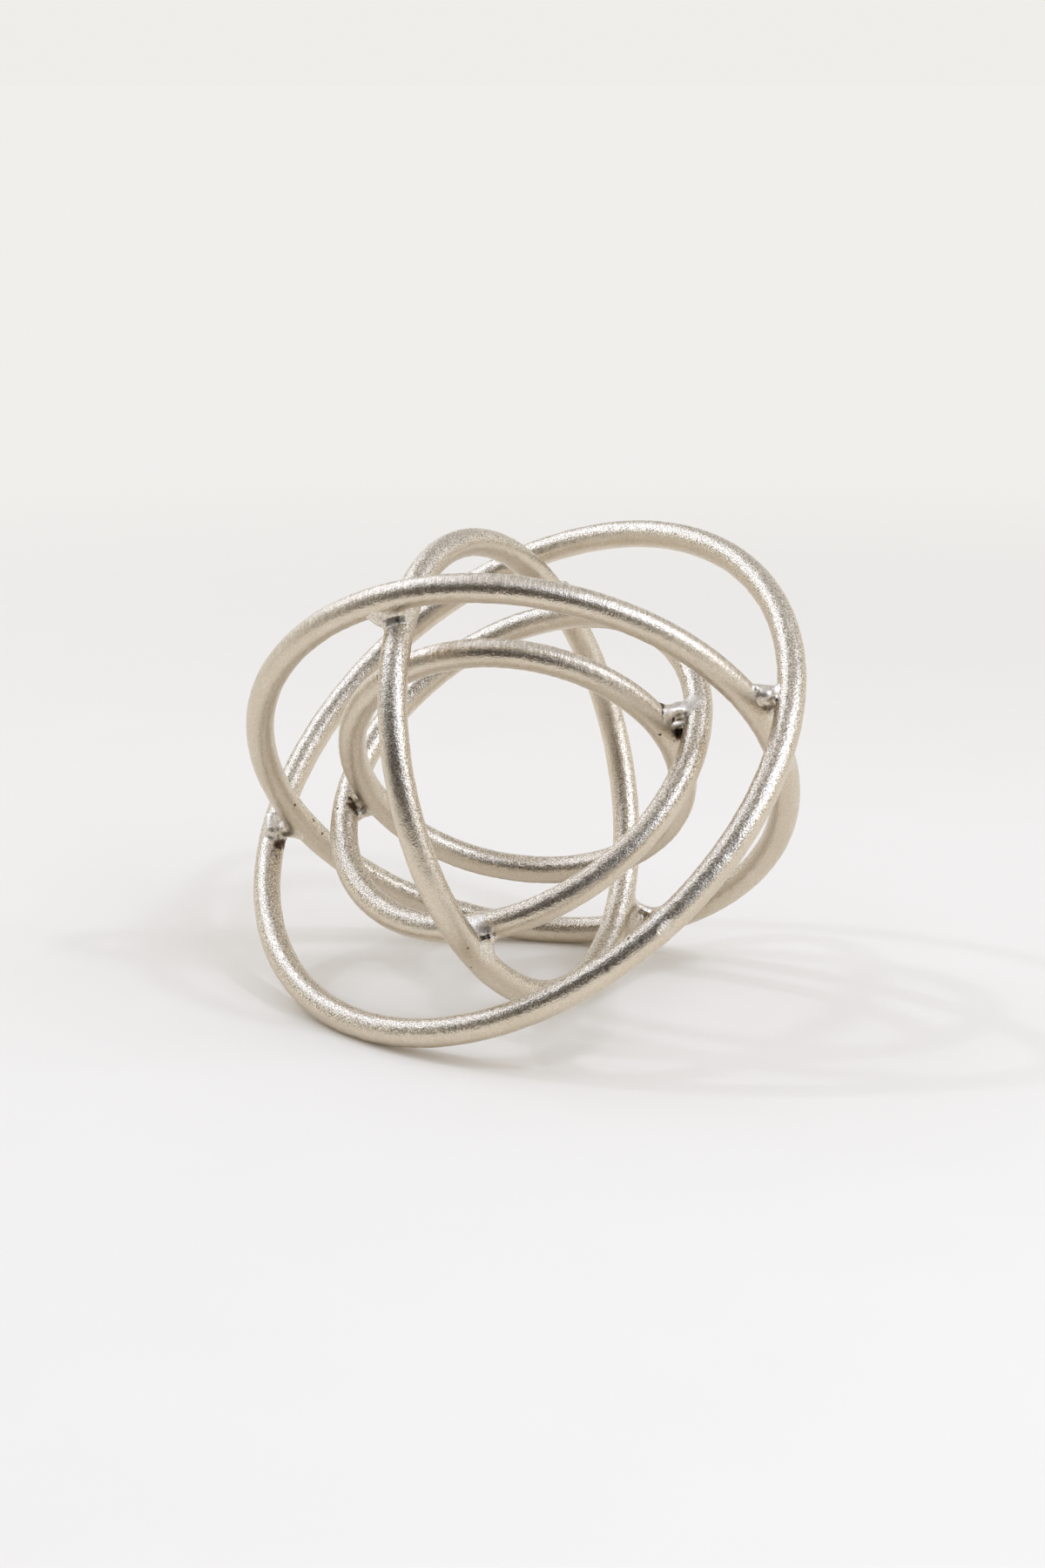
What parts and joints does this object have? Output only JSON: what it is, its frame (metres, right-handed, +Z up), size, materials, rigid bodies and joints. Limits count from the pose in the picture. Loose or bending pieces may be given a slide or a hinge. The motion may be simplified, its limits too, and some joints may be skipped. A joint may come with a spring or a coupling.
{
  "type": "metal knot sculpture",
  "caption": "Free-standing ornament of round metal bar rings, nested inside each other like a fixed gimbal and welded where they cross.",
  "frame": {"origin": "on the floor under the middle of the outline", "axes": "+X right and +Y away as seen in the picture, +Z up"},
  "size_m": [0.1566, 0.1592, 0.1315],
  "materials": {
    "nickel_bar": "brushed nickel plate on steel bar, finely pitted",
    "ground_weld": "weld ground flush and nickel plated",
    "weld_bead": "nickel plated weld, smooth and sooty in its corners"
  },
  "bodies": {
    "root": {"outer_ring": "nickel_bar", "second_ring": "nickel_bar", "third_ring": "nickel_bar", "fourth_ring": "nickel_bar", "inner_ring": "nickel_bar", "outer_ring_closing_weld": "ground_weld", "second_ring_closing_weld": "ground_weld", "third_ring_closing_weld": "ground_weld", "fourth_ring_closing_weld": "ground_weld", "inner_ring_closing_weld": "ground_weld", "outer_second_right_weld": "weld_bead", "outer_second_left_weld": "weld_bead", "second_third_front_weld": "weld_bead", "second_third_back_weld": "weld_bead", "third_fourth_back_weld": "weld_bead", "third_fourth_front_weld": "weld_bead", "fourth_inner_right_weld": "weld_bead", "fourth_inner_left_weld": "weld_bead"}
  },
  "joints": []
}
